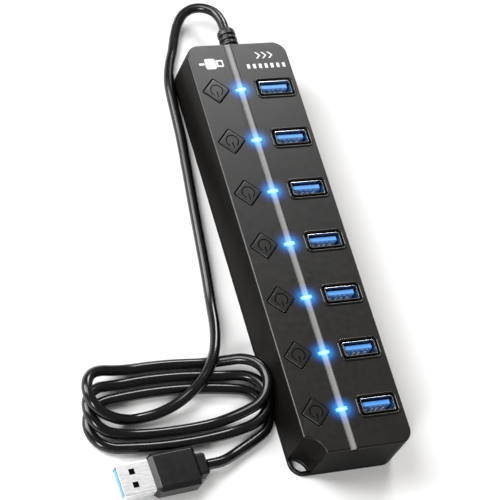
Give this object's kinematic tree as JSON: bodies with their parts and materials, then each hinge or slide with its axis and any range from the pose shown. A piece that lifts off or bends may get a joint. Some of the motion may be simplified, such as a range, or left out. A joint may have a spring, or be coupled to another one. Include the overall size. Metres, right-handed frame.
{
  "type": "usb hub",
  "caption": "Long flat USB hub: a row of ports, each with its own diamond power button and indicator light, a lanyard corner, and a captive cable coiled beside it with its plug.",
  "frame": {"origin": "on the table under the middle of the case, whose back lies flat on it", "axes": "+Z out of the face with the ports, +Y along the case towards the cable, +X across the case from the buttons to the ports"},
  "size_m": [0.1147, 0.2034, 0.0205],
  "materials": {
    "case": "fine satin, near-black",
    "button": "fine satin, near-black",
    "relief": "satin black rubber",
    "light_strip": "frosted light grey",
    "indicator": "lit, cyan-white",
    "steel": "bright nickel plate",
    "tongue": "blue insulator",
    "switch": "moulded black",
    "plunger": "moulded off-white",
    "board": "green solder mask",
    "chip": "moulded black",
    "screw": "blackened steel",
    "cord": "satin black",
    "plug_grip": "satin black"
  },
  "bodies": {
    "hub": {"back_cover": "case", "circuit_board": "board", "cord_coil": "cord", "cord_lead": "cord", "cord_tail": "cord", "crystal": "steel", "front_shell": "case", "hub_controller_1": "chip", "hub_controller_2": "chip", "indicator_1": "indicator", "indicator_2": "indicator", "indicator_3": "indicator", "indicator_4": "indicator", "indicator_5": "indicator", "indicator_6": "indicator", "indicator_7": "indicator", "light_strip": "light_strip", "plug_grip": "plug_grip", "plug_insert": "tongue", "plug_shell": "steel", "port_shell_1": "steel", "port_shell_2": "steel", "port_shell_3": "steel", "port_shell_4": "steel", "port_shell_5": "steel", "port_shell_6": "steel", "port_shell_7": "steel", "port_tongue_1": "tongue", "port_tongue_2": "tongue", "port_tongue_3": "tongue", "port_tongue_4": "tongue", "port_tongue_5": "tongue", "port_tongue_6": "tongue", "port_tongue_7": "tongue", "screw_1": "screw", "screw_2": "screw", "screw_3": "screw", "screw_4": "screw", "strain_relief": "relief", "switch_body_1": "switch", "switch_body_2": "switch", "switch_body_3": "switch", "switch_body_4": "switch", "switch_body_5": "switch", "switch_body_6": "switch", "switch_body_7": "switch"},
    "button_1": {"power_button_1": "button", "switch_plunger_1": "plunger"},
    "button_2": {"power_button_2": "button", "switch_plunger_2": "plunger"},
    "button_3": {"power_button_3": "button", "switch_plunger_3": "plunger"},
    "button_4": {"power_button_4": "button", "switch_plunger_4": "plunger"},
    "button_5": {"power_button_5": "button", "switch_plunger_5": "plunger"},
    "button_6": {"power_button_6": "button", "switch_plunger_6": "plunger"},
    "button_7": {"power_button_7": "button", "switch_plunger_7": "plunger"}
  },
  "joints": [
    {"name": "power_button_1_press", "type": "slide", "parent": "hub", "child": "button_1", "axis": [0, 0, -1], "range_m": [0, 0.0012], "stiffness_N_per_m": 600, "springref_m": -0.002},
    {"name": "power_button_2_press", "type": "slide", "parent": "hub", "child": "button_2", "axis": [0, 0, -1], "range_m": [0, 0.0012], "stiffness_N_per_m": 600, "springref_m": -0.002},
    {"name": "power_button_3_press", "type": "slide", "parent": "hub", "child": "button_3", "axis": [0, 0, -1], "range_m": [0, 0.0012], "stiffness_N_per_m": 600, "springref_m": -0.002},
    {"name": "power_button_4_press", "type": "slide", "parent": "hub", "child": "button_4", "axis": [0, 0, -1], "range_m": [0, 0.0012], "stiffness_N_per_m": 600, "springref_m": -0.002},
    {"name": "power_button_5_press", "type": "slide", "parent": "hub", "child": "button_5", "axis": [0, 0, -1], "range_m": [0, 0.0012], "stiffness_N_per_m": 600, "springref_m": -0.002},
    {"name": "power_button_6_press", "type": "slide", "parent": "hub", "child": "button_6", "axis": [0, 0, -1], "range_m": [0, 0.0012], "stiffness_N_per_m": 600, "springref_m": -0.002},
    {"name": "power_button_7_press", "type": "slide", "parent": "hub", "child": "button_7", "axis": [0, 0, -1], "range_m": [0, 0.0012], "stiffness_N_per_m": 600, "springref_m": -0.002}
  ]
}
